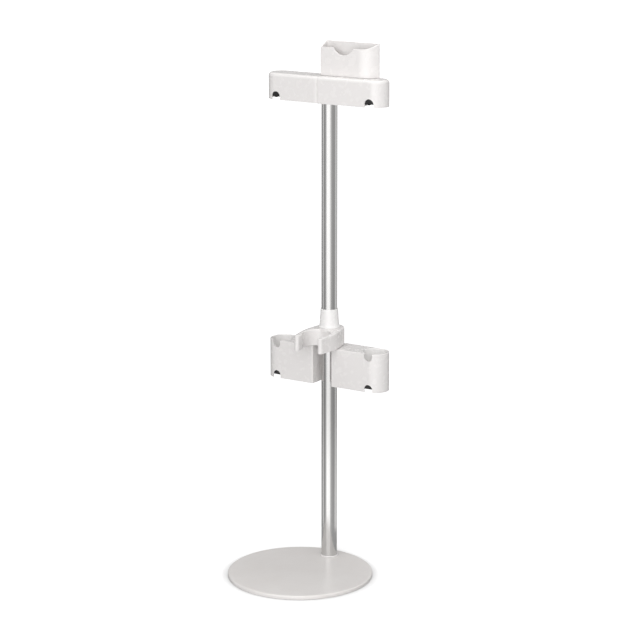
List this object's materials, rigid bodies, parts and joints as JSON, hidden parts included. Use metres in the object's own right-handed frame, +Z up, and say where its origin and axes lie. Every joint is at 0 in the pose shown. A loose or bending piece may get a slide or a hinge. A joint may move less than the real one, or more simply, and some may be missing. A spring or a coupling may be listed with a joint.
{
  "type": "phone charging kiosk",
  "caption": "Floor stand on a disc base: steel pole, sliding carriage with an open fork and round-ended pods with wells, and a charging head with a pocket.",
  "frame": {"origin": "centre of the base disc on the floor", "axes": "+Z up along the pole, front towards -Y, +X to the object's right as seen from the front; the pole stands near the rear edge"},
  "size_m": [0.3484, 0.3484, 1.2729],
  "materials": {
    "white_plastic": "smooth satin-gloss white moulding",
    "base_paint": "smooth light warm grey powder coat",
    "pole_steel": "bright brushed steel tube",
    "zinc_steel": "zinc-plated steel",
    "black_plastic": "fine-grained black moulding",
    "black_rubber": "matt black rubber",
    "board_green": "green circuit board",
    "grey_felt": "grey felt pad"
  },
  "bodies": {
    "stand": {"anti_slip_pad_1": "black_rubber", "anti_slip_pad_2": "black_rubber", "anti_slip_pad_3": "black_rubber", "anti_slip_pad_4": "black_rubber", "base_bolt": "zinc_steel", "base_plate": "base_paint", "base_washer": "zinc_steel", "board_link_lead": "black_rubber", "head_bottom_cover": "white_plastic", "head_chassis": "zinc_steel", "head_left_shell": "white_plastic", "head_right_shell": "white_plastic", "left_board_spacer_1": "black_plastic", "left_board_spacer_2": "black_plastic", "left_charger_board": "board_green", "left_cover_screw_1": "zinc_steel", "left_cover_screw_2": "zinc_steel", "left_grub_screw": "zinc_steel", "left_head_screw_1": "zinc_steel", "left_head_screw_2": "zinc_steel", "left_outlet_sleeve": "black_plastic", "left_usb_socket": "zinc_steel", "pole_bottom_plug": "zinc_steel", "pole_foot_ring": "white_plastic", "pole_harness": "black_rubber", "pole_joint_spigot": "zinc_steel", "pole_lower_tube": "pole_steel", "pole_upper_tube": "pole_steel", "power_inlet": "black_plastic", "right_board_spacer_1": "black_plastic", "right_board_spacer_2": "black_plastic", "right_charger_board": "board_green", "right_cover_screw_1": "zinc_steel", "right_cover_screw_2": "zinc_steel", "right_grub_screw": "zinc_steel", "right_head_screw_1": "zinc_steel", "right_head_screw_2": "zinc_steel", "right_outlet_sleeve": "black_plastic", "right_usb_socket": "zinc_steel"},
    "carriage": {"carriage_bush": "black_plastic"},
    "cradle": {"fork_bracket": "white_plastic", "left_cable_sleeve": "black_plastic", "left_hub_screw": "zinc_steel", "left_pod_screw_1": "zinc_steel", "left_pod_screw_2": "zinc_steel", "left_pod_shell": "white_plastic", "left_well_cup": "white_plastic", "pod_yoke": "white_plastic", "right_cable_sleeve": "black_plastic", "right_hub_screw": "zinc_steel", "right_pod_screw_1": "zinc_steel", "right_pod_screw_2": "zinc_steel", "right_pod_shell": "white_plastic", "right_well_cup": "white_plastic"},
    "collar": {"clamp_collar": "white_plastic"},
    "pocket": {"pocket_pad": "grey_felt", "pocket_shell": "white_plastic"}
  },
  "joints": [
    {"name": "carriage_height", "type": "slide", "parent": "stand", "child": "carriage", "axis": [0, 0, 1], "range_m": [-0.28, 0.42]},
    {"name": "cradle_swivel", "type": "hinge", "parent": "carriage", "child": "cradle", "pos_m": [0, 0.1325, 0.565], "axis": [0, 0, 1], "range_deg": [-180, 180]},
    {"name": "collar_twist", "type": "hinge", "parent": "carriage", "child": "collar", "pos_m": [0, 0.1325, 0.607], "axis": [0, 0, 1], "range_deg": [0, 60]},
    {"name": "pocket_lift", "type": "slide", "parent": "stand", "child": "pocket", "axis": [0, 0, 1], "range_m": [0, 0.04]}
  ]
}
